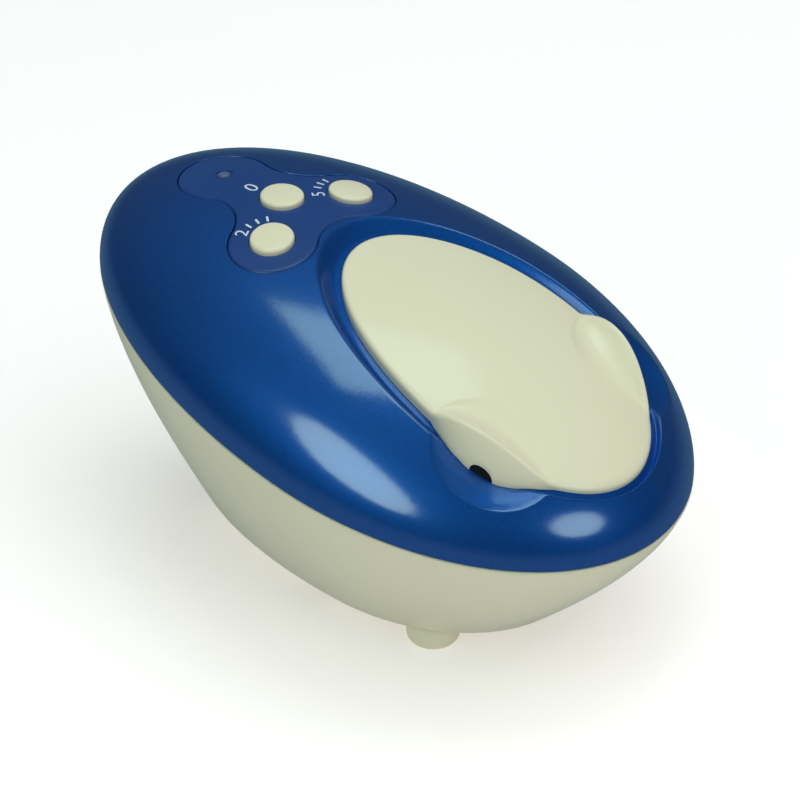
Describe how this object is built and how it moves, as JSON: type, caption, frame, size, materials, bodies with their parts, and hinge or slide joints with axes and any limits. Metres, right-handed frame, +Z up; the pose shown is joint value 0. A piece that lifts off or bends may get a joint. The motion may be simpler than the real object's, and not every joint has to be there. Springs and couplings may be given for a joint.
{
  "type": "contact lens cleaner",
  "caption": "Egg-shaped tabletop contact lens cleaner: metallic shell over a pale bowl, lift-off lid with grip ears over a steel tank, tri-lobed panel with press buttons and indicator.",
  "frame": {"origin": "on the table under the middle of the body", "axes": "+X right as its user sees it, +Y from the lid end to the narrow button end, +Z up"},
  "size_m": [0.0992, 0.15, 0.0828],
  "materials": {
    "blue_shell": "metallic lacquer, glossy",
    "ivory_shell": "glossy",
    "panel_blue": "satin gloss",
    "clear_lens": "clear",
    "foot_rubber": "soft",
    "tank_steel": "brushed",
    "screw_steel": "zinc plated",
    "silicone": "translucent matte",
    "black_plastic": "matte",
    "grey_plastic": "matte",
    "board_green": "solder mask",
    "ceramic": "silvered ceramic",
    "ferrite": "matte",
    "copper": "enamelled wire",
    "aluminium": "satin",
    "capacitor_sleeve": "satin",
    "white_plastic": "matte",
    "led_red": "diffused",
    "lead_red": "satin",
    "holder_white": "translucent"
  },
  "bodies": {
    "case": {"upper_housing": "blue_shell", "lower_housing": "ivory_shell", "control_panel": "panel_blue", "led_lens": "clear_lens", "foot_front_left": "foot_rubber", "foot_front_right": "foot_rubber", "foot_rear": "foot_rubber", "tank": "tank_steel", "tank_gasket": "silicone", "tank_clamp": "grey_plastic", "tank_screws": "screw_steel", "piezo_disc": "ceramic", "piezo_leads": "lead_red", "power_leads": "lead_red", "power_inlet": "black_plastic", "button_board": "board_green", "tact_switches": "black_plastic", "indicator_led": "led_red", "button_board_screws": "screw_steel", "main_board": "board_green", "main_board_screws": "screw_steel", "choke_core": "ferrite", "choke_winding": "copper", "capacitors": "capacitor_sleeve", "heat_sink": "aluminium", "transistor": "black_plastic", "control_chip": "black_plastic", "lead_sockets": "white_plastic", "ribbon_cable": "grey_plastic", "case_screws": "screw_steel"},
    "lid": {"lid": "ivory_shell"},
    "holder": {"lens_holder": "holder_white"},
    "cap_front": {"cup_cap_front": "holder_white"},
    "cap_back": {"cup_cap_back": "holder_white"},
    "key_off": {"button_off": "ivory_shell"},
    "key_2min": {"button_2min": "ivory_shell"},
    "key_5min": {"button_5min": "ivory_shell"}
  },
  "joints": [
    {"name": "lid_lift", "type": "slide", "parent": "case", "child": "lid", "axis": [0, 0, 1], "range_m": [0, 0.084]},
    {"name": "holder_lift", "type": "slide", "parent": "case", "child": "holder", "axis": [0, 0, 1], "range_m": [0, 0.06]},
    {"name": "cap_front_lift", "type": "slide", "parent": "holder", "child": "cap_front", "axis": [0, 0, 1], "range_m": [0, 0.022]},
    {"name": "cap_back_lift", "type": "slide", "parent": "holder", "child": "cap_back", "axis": [0, 0, 1], "range_m": [0, 0.022]},
    {"name": "press_off", "type": "slide", "parent": "case", "child": "key_off", "axis": [0, 0, -1], "range_m": [0, 0.0008], "stiffness_N_per_m": 1500},
    {"name": "press_2min", "type": "slide", "parent": "case", "child": "key_2min", "axis": [0, 0, -1], "range_m": [0, 0.0008], "stiffness_N_per_m": 1500},
    {"name": "press_5min", "type": "slide", "parent": "case", "child": "key_5min", "axis": [0, 0, -1], "range_m": [0, 0.0008], "stiffness_N_per_m": 1500}
  ],
  "couplings": [
    {"joint": "holder_lift", "follows": "lid_lift", "ratio": 0.71429},
    {"joint": "cap_front_lift", "follows": "lid_lift", "ratio": 0.2619},
    {"joint": "cap_back_lift", "follows": "lid_lift", "ratio": 0.2619}
  ]
}
